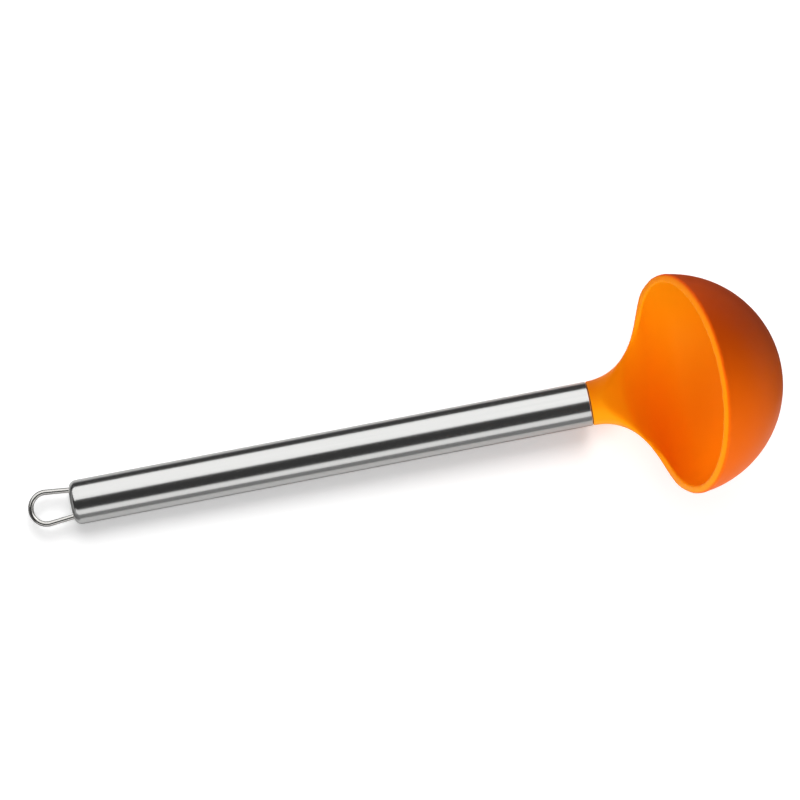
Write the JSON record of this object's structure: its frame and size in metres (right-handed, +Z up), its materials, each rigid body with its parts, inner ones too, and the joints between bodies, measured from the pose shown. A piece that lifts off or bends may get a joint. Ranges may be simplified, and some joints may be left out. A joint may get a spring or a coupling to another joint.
{
  "type": "soup ladle",
  "caption": "Soup ladle: a soft-skinned round bowl that leans back on a flared neck, a straight steel tube handle with a rounded end cap, and a fixed wire loop to hang it by.",
  "frame": {"origin": "on the table under the middle of the ladle's length, the ladle lying at rest on the back of its bowl and the edge of its end cap", "axes": "+X runs from the hanging loop to the bowl, in the ladle's plane of symmetry, and +Z is up; the handle rises towards the bowl by under two degrees"},
  "size_m": [0.3038, 0.088, 0.0853],
  "materials": {
    "orange_silicone": "matte",
    "core_nylon": "matte",
    "rod_steel": "satin",
    "tube_steel": "satin",
    "cap_steel": "satin",
    "wire_steel": "polished"
  },
  "bodies": {
    "root": {"bowl_skin": "orange_silicone", "bowl_core": "core_nylon", "core_rod": "rod_steel", "rod_bush": "core_nylon", "handle_tube": "tube_steel", "end_cap": "cap_steel", "hanging_loop": "wire_steel", "loop_anchor": "rod_steel"}
  },
  "joints": []
}
